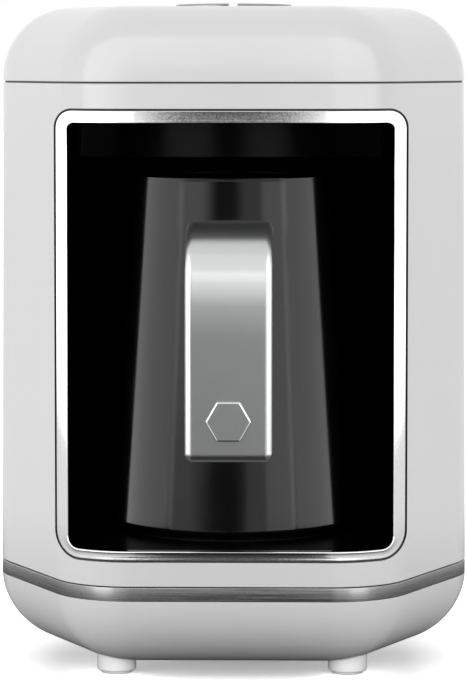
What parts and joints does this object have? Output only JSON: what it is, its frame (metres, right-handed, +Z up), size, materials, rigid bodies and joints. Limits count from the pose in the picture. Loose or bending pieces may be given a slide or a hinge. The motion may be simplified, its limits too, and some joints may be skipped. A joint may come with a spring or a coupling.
{
  "type": "electric turkish coffee maker",
  "caption": "Upright electric coffee maker with a six-sided white housing, a dark open bay, a lift-out conical pot on a heating plate and half-round push buttons on top.",
  "frame": {"origin": "bottom centre of the object's box, on the surface it stands on, with the pot and its handle in place", "axes": "+Z up, the open front with the pot's handle faces -Y, +X to the right of a viewer in front"},
  "size_m": [0.157, 0.1704, 0.2215],
  "materials": {
    "white_gloss": "glossy moulded plastic",
    "white_satin": "satin moulded plastic",
    "brushed_steel": "brushed",
    "button_steel": "fine brushed",
    "satin_aluminium": "satin, blasted",
    "plate_aluminium": "turned",
    "sheath_steel": "plain",
    "screw_steel": "zinc plated",
    "pot_enamel": "glossy enamel",
    "black_gloss": "glossy moulded plastic",
    "black_plastic": "fine matt texture",
    "black_rubber": "matt",
    "grey_rubber": "matt",
    "sensor_window": "polished dark red",
    "green_board": "solder mask",
    "blue_plastic": "moulded",
    "green_plastic": "moulded",
    "grey_cable": "soft sheath"
  },
  "bodies": {
    "housing": {"base_shell": "white_gloss", "body_front_shell": "white_gloss", "body_rear_shell": "white_gloss", "top_cover": "white_gloss", "rear_cover": "white_gloss", "trim_band": "brushed_steel", "bezel_frame": "brushed_steel", "cord_gland": "black_plastic", "bezel_gasket": "black_rubber", "bay_liner": "black_gloss", "bay_floor": "black_gloss", "bay_ceiling": "black_gloss", "sensor_lens": "sensor_window", "sensor_board": "green_board", "heating_plate": "plate_aluminium", "plate_seal": "black_rubber", "heater_element": "sheath_steel", "temperature_sensor": "plate_aluminium", "heater_bracket": "sheath_steel", "thermal_fuse": "sheath_steel", "power_board": "green_board", "relay": "blue_plastic", "capacitor": "blue_plastic", "terminal_block": "green_plastic", "control_board": "green_board", "button_switches": "black_plastic", "buzzer": "black_plastic", "control_cable": "grey_cable", "button_carrier": "black_plastic", "base_screws": "screw_steel", "rear_cover_screws": "screw_steel", "heater_screws": "screw_steel", "power_board_screws": "screw_steel", "control_board_screws": "screw_steel", "top_cover_screws": "screw_steel", "button_carrier_screws": "screw_steel", "foot_front_left": "white_satin", "foot_pad_front_left": "grey_rubber", "foot_front_right": "white_satin", "foot_pad_front_right": "grey_rubber", "foot_rear_left": "white_satin", "foot_pad_rear_left": "grey_rubber", "foot_rear_right": "white_satin", "foot_pad_rear_right": "grey_rubber"},
    "button_left": {"button_cap_left": "button_steel", "button_plunger_left": "white_satin", "button_spring_left": "sheath_steel"},
    "button_right": {"button_cap_right": "button_steel", "button_plunger_right": "white_satin", "button_spring_right": "sheath_steel"},
    "pot": {"pot_body": "pot_enamel", "pot_base_disc": "sheath_steel", "handle_grip": "satin_aluminium", "handle_insert": "black_plastic", "handle_bracket": "sheath_steel", "handle_screw": "screw_steel", "handle_cap": "satin_aluminium"}
  },
  "joints": [
    {"name": "left_button_press", "type": "slide", "parent": "housing", "child": "button_left", "axis": [0, 0, -1], "range_m": [0, 0.001], "stiffness_N_per_m": 600, "springref_m": -0.001, "deforming": ["button_spring_left"]},
    {"name": "right_button_press", "type": "slide", "parent": "housing", "child": "button_right", "axis": [0, 0, -1], "range_m": [0, 0.001], "stiffness_N_per_m": 600, "springref_m": -0.001, "deforming": ["button_spring_right"]},
    {"name": "pot_draw", "type": "slide", "parent": "housing", "child": "pot", "axis": [0, -1, 0], "range_m": [0, 0.16]}
  ]
}
